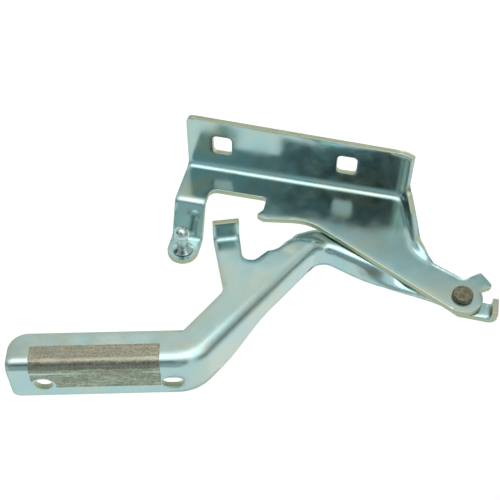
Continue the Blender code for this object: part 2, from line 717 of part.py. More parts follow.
def make_rivet(material):
    """Pivot rivet: flat head in front of the bracket, shank, and a set tail behind the arm."""
    head = -FIT_GAP - RIVET_HEAD_HEIGHT
    tail = ARM_STEP + SHEET + FIT_GAP
    end = tail + RIVET_TAIL_HEIGHT
    profile = [
        (0, head),
        (0.80 * RIVET_HEAD_RADIUS, head),
        (0.92 * RIVET_HEAD_RADIUS, head + 0.0003),
        (0.98 * RIVET_HEAD_RADIUS, head + 0.0008),
        (RIVET_HEAD_RADIUS, head + 0.0015),
        (RIVET_HEAD_RADIUS, -FIT_GAP),
        (RIVET_SHANK_RADIUS, -FIT_GAP),
        (RIVET_SHANK_RADIUS, tail),
        (RIVET_TAIL_RADIUS, tail),
        (RIVET_TAIL_RADIUS, end - 0.0010),
        (0.90 * RIVET_TAIL_RADIUS, end - 0.0003),
        (0.75 * RIVET_TAIL_RADIUS, end),
        (0, end),
    ]
    rivet = turned("pivot_rivet", profile, material)
    rivet.location = (PIVOT_X, BOLT_LINE_TO_WEB, PIVOT_Z)
    return rivet


def tube(name, inner, outer, start, end, material):
    """Plain ring about the pivot's axis."""
    ring = turned(name, [(inner, start), (outer, start), (outer, end), (inner, end)], material)
    ring.location = (PIVOT_X, BOLT_LINE_TO_WEB, PIVOT_Z)
    return ring


def make_stud(material):
    """Ball stud on the tongue's pad: ball, neck, ring, collar and riveted tail."""
    ball_y = TONGUE_DROP - BALL_STAND
    collar_end = TONGUE_DROP - FIT_GAP
    collar = collar_end - STUD_COLLAR_HEIGHT
    tail = TONGUE_DROP + SHEET + FIT_GAP
    end = tail + STUD_TAIL_HEIGHT
    profile = []
    neck_turn = math.asin(STUD_NECK_RADIUS / BALL_RADIUS)
    steps = 12
    for step in range(steps + 1):
        turn = math.pi - (math.pi - neck_turn) * step / steps
        profile.append((BALL_RADIUS * math.sin(turn) if step else 0, ball_y + BALL_RADIUS * math.cos(turn)))
    profile += [
        (STUD_NECK_RADIUS, collar - 0.0012),
        (STUD_RING_RADIUS, collar - 0.0008),
        (STUD_RING_RADIUS, collar - 0.0002),
        (STUD_RING_RADIUS + 0.0003, collar),
        (STUD_COLLAR_RADIUS - 0.0006, collar_end - 0.0011),
        (STUD_COLLAR_RADIUS, collar_end - 0.0007),
        (STUD_COLLAR_RADIUS, collar_end),
        (STUD_SHANK_RADIUS, collar_end),
        (STUD_SHANK_RADIUS, tail),
        (STUD_TAIL_RADIUS, tail),
        (STUD_TAIL_RADIUS - 0.0003, end - 0.0004),
        (STUD_TAIL_RADIUS - 0.0012, end),
        (0, end),
    ]
    stud = turned("ball_stud", profile, material, steps=32)
    stud.location = (TONGUE_CENTRE_X, BOLT_LINE_TO_WEB, STUD_Z)
    return stud


def make_tape(arm, material):
    """Tape laid over the arm's bend, cut clear of the round hole."""
    stand = FIT_GAP + TAPE_THICKNESS
    radius = ARM_BEND_RADIUS + stand
    columns = []
    for x in (TAPE_END_X, TAPE_START_X):
        start = [Vector((x, -stand, TAPE_WEB_Z))]
        bend = bend_column(Vector((x, ARM_BEND_Z)), Vector((0, 1)), -stand, radius, math.pi / 2, (), 1)
        columns.append(start + bend + [Vector((x, TAPE_DEPTH, ARM_FACE_Z + stand))])
    mesh = bmesh.new()
    add_grid(mesh, columns)
    tape = sheet_object("adhesive_tape", mesh, TAPE_THICKNESS, material)
    tape.parent = arm
    clearance = prism("tape_hole_cutter", circle(ARM_HOLE_RADIUS + TAPE_HOLE_MARGIN), -SHEET, SHEET)
    cut(tape, clearance, (ARM_HOLE_X, ARM_HOLE_DEPTH, ARM_FACE_Z), upright=True)
    return tape


def finish(name, colour, roughness, metallic):
    """Principled material."""
    material = bpy.data.materials.new(name)
    material.use_nodes = True
    shader = material.node_tree.nodes["Principled BSDF"]
    shader.inputs["Base Color"].default_value = (*colour, 1)
    shader.inputs["Roughness"].default_value = roughness
    shader.inputs["Metallic"].default_value = metallic
    material.diffuse_color = (*colour, 1)
    return material


def bracket_zinc():
    """Zinc plate with a clear passivate, on the body bracket."""
    return finish("bracket_zinc_plated_steel", (0.36, 0.43, 0.45), 0.34, 1.0)


def arm_zinc():
    """Zinc plate with a clear passivate, on the arm."""
    return finish("arm_zinc_plated_steel", (0.42, 0.50, 0.51), 0.32, 1.0)


def rivet_steel():
    """Bare steel of the rivet."""
    return finish("rivet_steel", (0.24, 0.21, 0.18), 0.45, 1.0)


def stud_zinc():
    """Zinc plate on the turned ball stud."""
    return finish("stud_zinc_plated_steel", (0.40, 0.42, 0.40), 0.25, 1.0)


def bush_bronze():
    """Sintered bronze of the bush."""
    return finish("bush_sintered_bronze", (0.42, 0.27, 0.13), 0.55, 1.0)


def washer_steel():
    """Spring steel of the spacer washer."""
    return finish("washer_spring_steel", (0.30, 0.31, 0.32), 0.4, 1.0)


def tape_film():
    """Aged protective tape."""
    return finish("protective_tape", (0.23, 0.20, 0.16), 0.38, 0.0)


def main():
    """Build the hinge."""
    for item in list(bpy.data.objects):
        bpy.data.objects.remove(item)
    make_bracket(bracket_zinc())
    arm = make_arm(arm_zinc())
    make_rivet(rivet_steel())
    arm_back = ARM_STEP + SHEET
    bush = tube("pivot_bush", BUSH_INNER_RADIUS, BUSH_OUTER_RADIUS, ARM_STEP, arm_back, bush_bronze())
    washer_start = SHEET + FIT_GAP
    washer_end = washer_start + WASHER_THICKNESS
    tube("spacer_washer", BUSH_INNER_RADIUS, WASHER_RADIUS, washer_start, washer_end, washer_steel())
    make_stud(stud_zinc())
    make_tape(arm, tape_film())
    bush.parent = arm
    bush.location = (0, 0, 0)


main()
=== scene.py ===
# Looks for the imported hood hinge: zinc plated sheets, turned metals, adhesive tape and a small studio
import math

import bmesh
import bpy
from mathutils import Matrix, Vector, kdtree, noise


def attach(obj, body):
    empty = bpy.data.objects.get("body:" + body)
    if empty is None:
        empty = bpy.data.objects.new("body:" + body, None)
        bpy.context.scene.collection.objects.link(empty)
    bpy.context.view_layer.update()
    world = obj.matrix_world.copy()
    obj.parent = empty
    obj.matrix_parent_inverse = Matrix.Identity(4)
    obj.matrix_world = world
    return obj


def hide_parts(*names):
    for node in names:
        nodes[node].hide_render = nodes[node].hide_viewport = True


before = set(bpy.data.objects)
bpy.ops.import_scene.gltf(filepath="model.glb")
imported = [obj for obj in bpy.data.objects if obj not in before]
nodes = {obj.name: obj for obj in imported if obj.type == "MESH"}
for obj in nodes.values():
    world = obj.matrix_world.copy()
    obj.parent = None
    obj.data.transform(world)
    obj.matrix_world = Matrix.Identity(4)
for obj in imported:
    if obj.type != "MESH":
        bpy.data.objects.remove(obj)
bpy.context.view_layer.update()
print("frame loaded:", ", ".join(sorted(nodes)))


def linear(hexColour):
    # sRGB hex to linear RGBA
    channels = [int(hexColour[i:i + 2], 16) / 255 for i in (1, 3, 5)]
    return [c / 12.92 if c <= 0.04045 else ((c + 0.055) / 1.055) ** 2.4 for c in channels] + [1.0]


def addNode(tree, kind, settings=None, links=None):
    # one node with its settings and links; socket keys are names or numbers
    node = tree.nodes.new(kind)
    for key, value in (settings or {}).items():
        if isinstance(key, str) and hasattr(node, key) and key not in node.inputs:
            setattr(node, key, value)
        else:
            node.inputs[key].default_value = value
    for key, source in (links or {}).items():
        socket = source.outputs[0] if isinstance(source, bpy.types.Node) else source
        tree.links.new(socket, node.inputs[key])
    return node


def fillRamp(node, stops):
    # stops are (position, colour) pairs, left to right
    ramp = node.color_ramp
    while len(ramp.elements) < len(stops):
        ramp.elements.new(0.5)
    for element, (position, colour) in zip(ramp.elements, stops):
        element.position = position
        element.color = linear(colour)
    return node


noiseSpan = {"From Min": 0.3, "From Max": 0.7}   # a noise texture mostly stays between these


def newMaterial(name):
    material = bpy.data.materials.new(name)
    material.use_nodes = True
    tree = material.node_tree
    tree.nodes.clear()
    return material, tree


def addPiece(name, bm, material, body):
    mesh = bpy.data.meshes.new(name)
    bm.to_mesh(mesh)
    bm.free()
    mesh.shade_smooth()
    mesh.materials.append(material)
    piece = bpy.data.objects.new(name, mesh)
    bpy.context.scene.collection.objects.link(piece)
    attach(piece, body)
    return piece


# Cold rolled steel, pressed, then bright zinc plated with a clear blue passivate. To the eye it is a pale
# blue-grey metal with soft reflections, and faint drifts of blue and straw where the passivate is thicker.
zincSheet = {
    "drifts": [(0.28, "#aacfd3"), (0.50, "#b9d3d1"), (0.78, "#ccd2bf")],   # blue, grey and straw
    "driftSize": 0.030,          # the passivate's drifts, about 30 mm across
    "roughness": (0.12, 0.23),   # clean plating and smeared plating
    "smearSize": 0.01111,        # the smears, about 11 mm across
    # rolled sheet is never quite flat; the plating's real grain is 0.1 mm, and 0.7 mm is what shows
    "ripple": {"size": 0.02222, "detail": 1.0, "strength": 0.25, "height": 0.0006},
    "grain": {"size": 0.0007, "detail": 2.0, "strength": 0.03, "height": 0.0002},
    "bendSoftness": 0.0052,      # the sheet runs into its bends over about 5 mm
    "flatShare": 0.10,           # share of that softness on the flats, away from any bend
    "shearedShare": 0.25,        # factor on both for the sheared sides, which stay crisp
    "sheared": "#b4b596",        # olive straw, where the passivate gathers on the sheared sides
    "shearedColour": 0.8,        # how far the sheared sides take that colour
    "shearedRoughness": 0.20,    # added there, since a torn side is rougher than the rolled face
    "rimColour": 0.5,            # how far the edges beside them take it
    "rimTurn": (0.98, 0.80),     # cosine between true and softened normal where a rim begins and is full
    "rimClear": (0.9, 0.2),      # nearness to a bend where a rim begins and is full
}
# the arm's bend is wider round its elbow: how wide, the elbow's middle, and where that fades out
elbowBend = {"softness": 0.0090, "at": (0.008, 0.022, 0.128), "fade": (0.034, 0.055)}


def roundBends(tree, look, place, wide):
    # a normal that turns gradually across a bend, over a wider band where wide says so
    rounded = addNode(tree, "ShaderNodeBevel", {"samples": 8, "Radius": look["bendSoftness"]})
    if wide:
        away = addNode(tree, "ShaderNodeVectorMath", {"operation": "DISTANCE", 1: wide["at"]}, {0: place})
        softness = addNode(tree, "ShaderNodeMapRange",
                           {"From Min": wide["fade"][0], "From Max": wide["fade"][1],
                            "To Min": wide["softness"], "To Max": look["bendSoftness"]},
                           {"Value": away.outputs["Value"]})
        tree.links.new(softness.outputs[0], rounded.inputs["Radius"])
    return rounded


def findOliveEdges(tree, look, normal, rounded, nearBend, sheared):
    # the sheared sides, and a faint rim along the sheet's edges
    facing = addNode(tree, "ShaderNodeVectorMath", {"operation": "DOT_PRODUCT"}, {0: rounded, 1: normal})
    rim = addNode(tree, "ShaderNodeMapRange",
                  {"From Min": look["rimTurn"][0], "From Max": look["rimTurn"][1],
                   "To Min": 0.0, "To Max": look["rimColour"]}, {"Value": facing.outputs["Value"]})
    clear = addNode(tree, "ShaderNodeMapRange",
                    {"From Min": look["rimClear"][0], "From Max": look["rimClear"][1]}, {"Value": nearBend})
    rim = addNode(tree, "ShaderNodeMath", {"operation": "MULTIPLY"}, {0: rim, 1: clear})
    return addNode(tree, "ShaderNodeMath",
                   {"operation": "MULTIPLY_ADD", 1: look["shearedColour"], "use_clamp": True},
                   {0: sheared, 2: rim})


def makeZinc(name, look, wide=None):
    material, tree = newMaterial(name)
    place = addNode(tree, "ShaderNodeTexCoord").outputs["Object"]
    normal = addNode(tree, "ShaderNodeNewGeometry").outputs["Normal"]
    nearBend = addNode(tree, "ShaderNodeAttribute", {"attribute_name": "nearBend"}).outputs["Fac"]
    sheared = addNode(tree, "ShaderNodeAttribute", {"attribute_name": "sheared"}).outputs["Fac"]
    # the softened normal near the bends, and almost the true one elsewhere
    rounded = roundBends(tree, look, place, wide)
    share = addNode(tree, "ShaderNodeMapRange", {"To Min": look["flatShare"], "To Max": 1.0},
                    {"Value": nearBend})
    crisp = addNode(tree, "ShaderNodeMapRange", {"To Min": 1.0, "To Max": look["shearedShare"]},
                    {"Value": sheared})
    share = addNode(tree, "ShaderNodeMath", {"operation": "MULTIPLY"}, {0: share, 1: crisp})
    surface = addNode(tree, "ShaderNodeMixRGB", {}, {"Fac": share, "Color1": normal, "Color2": rounded})
    # drifts of the passivate, olive at the edges
    drift = addNode(tree, "ShaderNodeTexNoise",
                    {"Scale": 1 / look["driftSize"], "Detail": 3.0, "Roughness": 0.5, "Distortion": 0.6},
                    {"Vector": place})
    blotch = fillRamp(addNode(tree, "ShaderNodeValToRGB", links={"Fac": drift}), look["drifts"])
    olive = findOliveEdges(tree, look, normal, rounded, nearBend, sheared)
    colour = addNode(tree, "ShaderNodeMixRGB", {"Color2": linear(look["sheared"])},
                     {"Fac": olive, "Color1": blotch})
    # smears left on the plating
    smear = addNode(tree, "ShaderNodeTexNoise",
                    {"Scale": 1 / look["smearSize"], "Detail": 4.0, "Roughness": 0.6}, {"Vector": place})
    rough = addNode(tree, "ShaderNodeMapRange",
                    {**noiseSpan, "To Min": look["roughness"][0], "To Max": look["roughness"][1]},
                    {"Value": smear})
    rough = addNode(tree, "ShaderNodeMath", {"operation": "MULTIPLY_ADD", 1: look["shearedRoughness"]},
                    {0: sheared, 2: rough})
    # slow ripples of the sheet under the fine grain of the plating
    for relief in (look["ripple"], look["grain"]):
        waves = addNode(tree, "ShaderNodeTexNoise",
                        {"Scale": 1 / relief["size"], "Detail": relief["detail"]}, {"Vector": place})
        surface = addNode(tree, "ShaderNodeBump",
                          {"Strength": relief["strength"], "Distance": relief["height"]},
                          {"Height": waves, "Normal": surface})
    shader = addNode(tree, "ShaderNodeBsdfPrincipled", {"Metallic": 1.0},
                     {"Base Color": colour, "Roughness": rough, "Normal": surface})
    addNode(tree, "ShaderNodeOutputMaterial", links={"Surface": shader})
    return material


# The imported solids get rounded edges: how far, in how many steps, and how far a bend is felt
edgeFinish = {
    "body_bracket": {"radius": 0.00030, "steps": 2, "bendReach": 0.008},
    # the arm's sheet flows smoothly where the joggle crosses its bend
    "gooseneck_arm": {"radius": 0.00030, "steps": 2, "bendReach": 0.012,
                      "smoothAt": (-0.020, 0.028, 0.060), "smoothReach": 0.026, "smoothTurns": 6},
    "pivot_rivet": {"radius": 0.00020, "steps": 2},
    "pivot_bush": {"radius": 0.00015, "steps": 1},
    "spacer_washer": {"radius": 0.00008, "steps": 1},
    "ball_stud": {"radius": 0.00012, "steps": 2},
}
# How the solids' facets are read: angles between two facets, and lengths in metres
facets = {
    "weld": 0.000005,
    "coplanar": math.radians(0.4),
    "bendLine": (math.radians(1.5), math.radians(28)),
    "smoothed": math.radians(24),   # what turns more is left out of the smoothing
    "sharp": math.radians(38),
    "shearedLength": 0.0060,        # the longest edge across a sheared side of the 3.5 mm sheet
    "shearedWidth": 0.002,          # its area over the length of its outline
    "bendStep": 0.001,
    "flatArea": 0.0003,             # a larger facet is cut up, in square metres
    "flatCorners": 6,               # and so is one with more corners than this
    "flatLength": 0.0035,           # the longest edge after that
    "flatTurns": 6,
}


def sharpEdges(bm):
    return [edge for edge in bm.edges if edge.is_manifold and edge.calc_face_angle() > facets["sharp"]]


def markSheared(bm):
    # the narrow sides left by the press tool: sharp along both faces of the sheet
    layer = bm.faces.layers.float.new("sheared")
    sharp = set(sharpEdges(bm))
    rim = {vert for edge in sharp for vert in edge.verts}
    sheared = set()
    for face in bm.faces:
        across = [edge.calc_length() for edge in face.edges if edge not in sharp]
        outline = sum(edge.calc_length() for edge in face.edges)
        narrow = face.calc_area() < facets["shearedWidth"] * outline
        onRims = all(vert in rim for vert in face.verts) and len(across) <= max(2, len(face.edges) - 2)
        if narrow and onRims and max(across, default=0) < facets["shearedLength"]:
            face[layer] = 1.0
            sheared.add(face)
    return sheared


def bendPoints(bm, sheared):
    # points along the facet lines of the bends, leaving out the sheared sides
    points = []
    least, most = facets["bendLine"]
    for edge in bm.edges:
        if not edge.is_manifold or not least < edge.calc_face_angle() < most:
            continue
        if any(face in sheared for face in edge.link_faces):
            continue
        start, end = (vert.co.copy() for vert in edge.verts)
        count = max(2, int((end - start).length / facets["bendStep"]) + 1)
        points += [start.lerp(end, i / (count - 1)) for i in range(count)]
    return points


def splitFlats(bm):
    # the large flat faces cut small enough to carry a value that fades over a few millimetres
    layer = bm.faces.layers.int.new("flat")
    flats = [face for face in bm.faces
             if len(face.verts) > facets["flatCorners"] or face.calc_area() > facets["flatArea"]]
    for face in flats:
        face[layer] = 1
    bmesh.ops.triangulate(bm, faces=flats)
    for turn in range(facets["flatTurns"]):
        tooLong = [edge for edge in bm.edges if edge.calc_length() > facets["flatLength"]
                   and all(face[layer] for face in edge.link_faces)]
        if not tooLong:
            break
        bmesh.ops.subdivide_edges(bm, edges=tooLong, cuts=1)
        bmesh.ops.triangulate(bm, faces=[face for face in bm.faces if face[layer] and len(face.verts) > 3])


def markBends(bm, points, reach):
    # 1 on a bend, eased down to 0 at its reach
    tree = kdtree.KDTree(len(points))
    for i, point in enumerate(points):
        tree.insert(point, i)
    tree.balance()
    layer = bm.verts.layers.float.new("nearBend")
    for vert in bm.verts:
        share = max(0.0, 1 - tree.find(vert.co)[2] / reach)
        vert[layer] = share * share * (3 - 2 * share)


def smoothSheet(bm, finish):
    # only points on gentle curves move, so edges and holes keep their place
    centre = Vector(finish["smoothAt"])
    soft = [vert for vert in bm.verts if (vert.co - centre).length < finish["smoothReach"]
            and not any(edge.is_manifold and edge.calc_face_angle() > facets["smoothed"]
                        for edge in vert.link_edges)]
    for turn in range(finish["smoothTurns"]):
        bmesh.ops.smooth_vert(bm, verts=soft, factor=0.5, use_axis_x=True, use_axis_y=True, use_axis_z=True)


def roundedCopy(nodeName, pieceName, material, body):
    finish = edgeFinish[nodeName]
    bm = bmesh.new()
    bm.from_mesh(nodes[nodeName].data)
    bmesh.ops.remove_doubles(bm, verts=bm.verts, dist=facets["weld"])
    bmesh.ops.dissolve_limit(bm, angle_limit=facets["coplanar"], verts=bm.verts, edges=bm.edges)
    points = bendPoints(bm, markSheared(bm)) if "bendReach" in finish else []
    bmesh.ops.bevel(bm, geom=sharpEdges(bm), offset=finish["radius"], offset_type="OFFSET",
                    segments=finish["steps"], profile=0.5, affect="EDGES", clamp_overlap=False)
    if "smoothAt" in finish:
        smoothSheet(bm, finish)
    if points:
        splitFlats(bm)
        markBends(bm, points, finish["bendReach"])
    piece = addPiece(pieceName, bm, material, body)
    weighted = piece.modifiers.new("flatFacesStayFlat", "WEIGHTED_NORMAL")
    weighted.mode = "FACE_AREA"
    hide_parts(nodeName)


zincBracket = makeZinc("zinc_plated_steel_bracket", zincSheet)
zincArm = makeZinc("zinc_plated_steel_arm", zincSheet, elbowBend)
roundedCopy("body_bracket", "bracket_sheet", zincBracket, "bracket")
roundedCopy("gooseneck_arm", "arm_sheet", zincArm, "arm")
print("sheets done")


turnedMetals = {
    # cold headed steel, left bare: dull and brownish, with a broad highlight
    "rivet": {"light": "#8a8570", "dark": "#68644f", "roughness": (0.37, 0.50),
              "blotch": 0.0016, "strength": 0.15},
    # turned steel, zinc plated: as pale as the sheets, and smoother than the rivet
    "stud": {"light": "#cadcd9", "dark": "#b4c6c3", "roughness": (0.17, 0.30),
             "blotch": 0.0060, "strength": 0.03},
    # sintered bronze: brown and matt, with pores drawn 0.5 mm wide so that they show
    "bush": {"light": "#a07a4a", "dark": "#7d5c36", "roughness": (0.50, 0.63),
             "blotch": 0.0005, "strength": 0.15},
    # rolled spring steel: a plain grey satin
    "washer": {"light": "#94989b", "dark": "#7c8083", "roughness": (0.35, 0.48),
               "blotch": 0.0020, "strength": 0.10},
}
turnedSkin = 0.0002   # how deep the blotches of a headed, turned or sintered surface go


def makeTurned(name, look):
    # an even metal with slight blotches, given by their size in metres
    material, tree = newMaterial(name)
    place = addNode(tree, "ShaderNodeTexCoord").outputs["Object"]
    blotch = addNode(tree, "ShaderNodeTexNoise", {"Scale": 1 / look["blotch"], "Detail": 4.0},
                     {"Vector": place})
    colour = fillRamp(addNode(tree, "ShaderNodeValToRGB", links={"Fac": blotch}),
                      [(0.35, look["dark"]), (0.65, look["light"])])
    rough = addNode(tree, "ShaderNodeMapRange",
                    {**noiseSpan, "To Min": look["roughness"][0], "To Max": look["roughness"][1]},
                    {"Value": blotch})
    bump = addNode(tree, "ShaderNodeBump", {"Strength": look["strength"], "Distance": turnedSkin},
                   {"Height": blotch})
    shader = addNode(tree, "ShaderNodeBsdfPrincipled", {"Metallic": 1.0},
                     {"Base Color": colour, "Roughness": rough, "Normal": bump})
    addNode(tree, "ShaderNodeOutputMaterial", links={"Surface": shader})
    return material


rivetSteel = makeTurned("bare_headed_steel_rivet", turnedMetals["rivet"])
studSteel = makeTurned("zinc_plated_turned_steel_stud", turnedMetals["stud"])
bushBronze = makeTurned("sintered_bronze_bush", turnedMetals["bush"])
washerSteel = makeTurned("spring_steel_washer", turnedMetals["washer"])
roundedCopy("pivot_rivet", "rivet_headed", rivetSteel, "bracket")
roundedCopy("ball_stud", "stud_turned", studSteel, "bracket")
roundedCopy("pivot_bush", "bush_ring", bushBronze, "arm")
roundedCopy("spacer_washer", "washer_ring", washerSteel, "bracket")
print("turned parts done")


# The tape's shape in the arm's own frame: x along the arm from the pivot, y back from the face of its web,
# z towards its flange
armTilt = math.radians(14.46)
armOrigin = (-0.1245, 0.0202, 0.0780)   # on the pivot's axis, in the face of the arm's web
tapeShape = {
    "startX": 0.1799, "endX": 0.2538,
    "webZ": 0.0295,              # the tape's edge on the web
    "bendZ": 0.0377,             # where the web runs into the bend
    "bendRadius": 0.0062,
    "depth": 0.0210,             # the tape's edge on the flange
    "stand": 0.0004,             # the film's outer face lies this far off the steel
    "thickness": 0.000176,       # the film's own
    # the tape is cut out round the flange's hole
    "holeX": 0.2474, "holeDepth": 0.0184, "holeRadius": 0.0072,
    "holeSnap": 0.0006,          # points this near the hole's edge are put on it
    "holeFrom": 0.7,             # how far round the bend the hole may begin
    "columns": 190, "rows": 84,
    "ragged": 0.00045,           # how far the torn edges stray
    "endTears": {"count": 17, "seed": 3.1},
    "sideTears": {"count": 31, "seed": 9.7},
    "tearPower": 8,              # keeps the tears close to the edges
    "wrinkle": 0.00011,          # height of the wrinkles
    "webWrinkle": 0.35,          # share of it on the web, where the film lies smoother
    # waves per metre along and across: folds of 11 by 1.1 mm and creases of 2.4 by 1.4 mm
    "wrinkles": [{"along": 90, "across": 900, "seed": 1.3, "share": 0.7},
                 {"along": 420, "across": 700, "seed": 5.2, "share": 0.5}],
}


def tapeLengths():
    # over the web, round the bend and over the flange
    shape = tapeShape
    web = shape["bendZ"] - shape["webZ"]
    bend = shape["bendRadius"] * math.pi / 2
    flange = shape["depth"] - shape["bendRadius"] + shape["stand"]
    return web, bend, flange


def tapePoint(along, across):
    # a point of the flat tape wrapped round the arm, and the direction out of it
    shape = tapeShape
    web, bend = tapeLengths()[:2]
    if across <= web:
        return Vector((along, -shape["stand"], shape["webZ"] + across)), Vector((0, -1, 0))
    if across <= web + bend:
        turn = (across - web) / shape["bendRadius"]
        outward = Vector((0, -math.cos(turn), math.sin(turn)))
        centre = Vector((along, shape["bendRadius"] - shape["stand"], shape["bendZ"]))
        return centre + outward * shape["bendRadius"], outward
    rest = across - web - bend
    foot = Vector((along, shape["bendRadius"] - shape["stand"] + rest, shape["bendZ"] + shape["bendRadius"]))
    return foot, Vector((0, 0, 1))


def tear(kind, place):
    # how far a torn edge strays, at a place from 0 to 1 along it
    tears = tapeShape[kind]
    return tapeShape["ragged"] * noise.noise(Vector((place * tears["count"], tears["seed"], 0)))


def wrinkle(wave, along, across):
    place = Vector((along * wave["along"], across * wave["across"], wave["seed"]))
    return wave["share"] * noise.noise(place)


def makeTapeGrid(bm):
    # u runs along the tape and v across it
    shape = tapeShape
    web, bend, flange = tapeLengths()
    total = web + bend + flange
    grid = []
    for column in range(shape["columns"] + 1):
        u = column / shape["columns"]
        line = []
        for row in range(shape["rows"] + 1):
            v = row / shape["rows"]
            along = shape["startX"] + (shape["endX"] - shape["startX"]) * u
            along += tear("endTears", v) * (1 if u > 0.5 else -1) * abs(2 * u - 1) ** shape["tearPower"]
            across = total * v + tear("sideTears", u) * abs(2 * v - 1) ** shape["tearPower"]
            point, outward = tapePoint(along, min(total, max(0, across)))
            waves = sum(wrinkle(wave, along, across) for wave in shape["wrinkles"])
            pastBend = min(1, max(0, (across - web) / bend))
            creased = shape["webWrinkle"] + (1 - shape["webWrinkle"]) * pastBend
            lift = shape["wrinkle"] * waves * creased
            line.append(bm.verts.new(point + outward * lift))
        grid.append(line)
    return grid


def makeTape(material):
    shape = tapeShape
    bm = bmesh.new()
    grid = makeTapeGrid(bm)
    hole = Vector((shape["holeX"], shape["holeDepth"]))
    holeFromZ = shape["bendZ"] + shape["holeFrom"] * shape["bendRadius"]
    for left, right in zip(grid, grid[1:]):
        for row in range(shape["rows"]):
            corners = (left[row], left[row + 1], right[row + 1], right[row])
            middle = sum((corner.co for corner in corners), Vector()) / 4
            inHole = (Vector((middle.x, middle.y)) - hole).length < shape["holeRadius"]
            if not (inHole and middle.z > holeFromZ):
                bm.faces.new(corners)
    bmesh.ops.delete(bm, geom=[vert for vert in bm.verts if not vert.link_faces], context="VERTS")
    # the hole's stepped edge pulled on to its circle
    for vert in bm.verts:
        toHole = Vector((vert.co.x, vert.co.y)) - hole
        near = toHole.length < shape["holeRadius"] + shape["holeSnap"]
        if vert.is_boundary and near and vert.co.z > shape["bendZ"]:
            snapped = hole + toHole.normalized() * shape["holeRadius"]
            if snapped.y < shape["depth"]:
                vert.co.x = snapped.x
                vert.co.y = snapped.y
    bmesh.ops.recalc_face_normals(bm, faces=bm.faces)
    if sum((face.normal for face in bm.faces), Vector()).y > 0:
        bmesh.ops.reverse_faces(bm, faces=bm.faces)
    bm.transform(Matrix.Translation(armOrigin) @ Matrix.Rotation(-armTilt, 4, "Y"))
    piece = addPiece("tape_strip", bm, material, "arm")
    film = piece.modifiers.new("filmThickness", "SOLIDIFY")
    film.thickness = shape["thickness"]
    film.offset = -1
    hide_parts("adhesive_tape")


# Aged metallised tape: a thin brown-grey film with a satin skin, streaked along its length, lighter along
# its creases and split at both ends. Sizes and places are in metres, in the frame turned by armTilt.
tapeLook = {
    "shades": [(0.50, "#5b5845"), (0.76, "#949180"), (1.00, "#c4c1ad")],
    "metallic": 0.8,
    "roughness": (0.20, 0.36),
    "streakSize": (0.01111, 0.002381, 0.002381),   # 11 mm long and 2.4 mm wide
    "streakShare": 0.6,                            # against 1 for the speckle
    "speckleSize": 0.0014286,                      # 1.4 mm: the skin's own grain is too fine to show
    "flangeFrom": (0.0225, 0.0260),                # Y where the web ends and the flange begins
    "webContrast": 0.40,                           # the film lies smooth on the web
    "flangeContrast": 0.75,                        # and rougher on the flange
    "flangeTint": "#e9f8f2",
    "creaseSize": (0.020, 0.003846, 0.003846),     # 20 mm long and 4 mm apart
    "creaseTurn": 0.22,                            # askew to the tape, in radians
    "creaseWidth": 0.040,                          # either side of the noise's middle value
    "creaseLight": 0.24,
    "relief": {"strength": 0.4, "height": 0.0003},
    # where the film has split just past the bend: X of each split's mouth and tip, half width at its mouth
    "splits": [{"mouth": 0.1527, "tip": 0.1110, "half": 0.0009},
               {"mouth": 0.0788, "tip": 0.0910, "half": 0.0006}],
    "splitY": 0.0271,
    "splitWander": 0.0012,
    "bare": "#bdd3d3",
}


def addSplits(tree, look, place, wave, colour):
    # bare metal shows in a thin wedge that runs in from each end
    apart = addNode(tree, "ShaderNodeSeparateXYZ", {}, {0: place})
    wander = addNode(tree, "ShaderNodeMath",
                     {"operation": "MULTIPLY_ADD", 1: look["splitWander"],
                      2: -look["splitWander"] / 2 - look["splitY"]}, {0: wave})
    across = addNode(tree, "ShaderNodeMath", {"operation": "ADD"}, {0: apart.outputs["Y"], 1: wander})
    away = addNode(tree, "ShaderNodeMath", {"operation": "ABSOLUTE"}, {0: across})
    for split in look["splits"]:
        half = addNode(tree, "ShaderNodeMapRange",
                       {"From Min": split["tip"], "From Max": split["mouth"], "To Max": split["half"]},
                       {"Value": apart.outputs["X"]})
        inside = addNode(tree, "ShaderNodeMath", {"operation": "LESS_THAN"}, {0: away, 1: half})
        colour = addNode(tree, "ShaderNodeMixRGB", {"Color2": linear(look["bare"])},
                         {"Fac": inside, "Color1": colour})
    return colour


def addCreases(tree, look, place, onFlange):
    # light ridges where the noise passes its middle value, on the flange alone
    lines = addNode(tree, "ShaderNodeMapping",
                    {"Scale": [1 / size for size in look["creaseSize"]],
                     "Rotation": (0, 0, look["creaseTurn"])}, {"Vector": place})
    folds = addNode(tree, "ShaderNodeTexNoise", {"Scale": 1.0, "Detail": 1.5, "Distortion": 0.8},
                    {"Vector": lines})
    offset = addNode(tree, "ShaderNodeMath", {"operation": "SUBTRACT", 1: 0.5}, {0: folds})
    away = addNode(tree, "ShaderNodeMath", {"operation": "ABSOLUTE"}, {0: offset})
    ridge = addNode(tree, "ShaderNodeMapRange",
                    {"From Max": look["creaseWidth"], "To Min": look["creaseLight"], "To Max": 0.0},
                    {"Value": away})
    return addNode(tree, "ShaderNodeMath", {"operation": "MULTIPLY"}, {0: ridge, 1: onFlange})


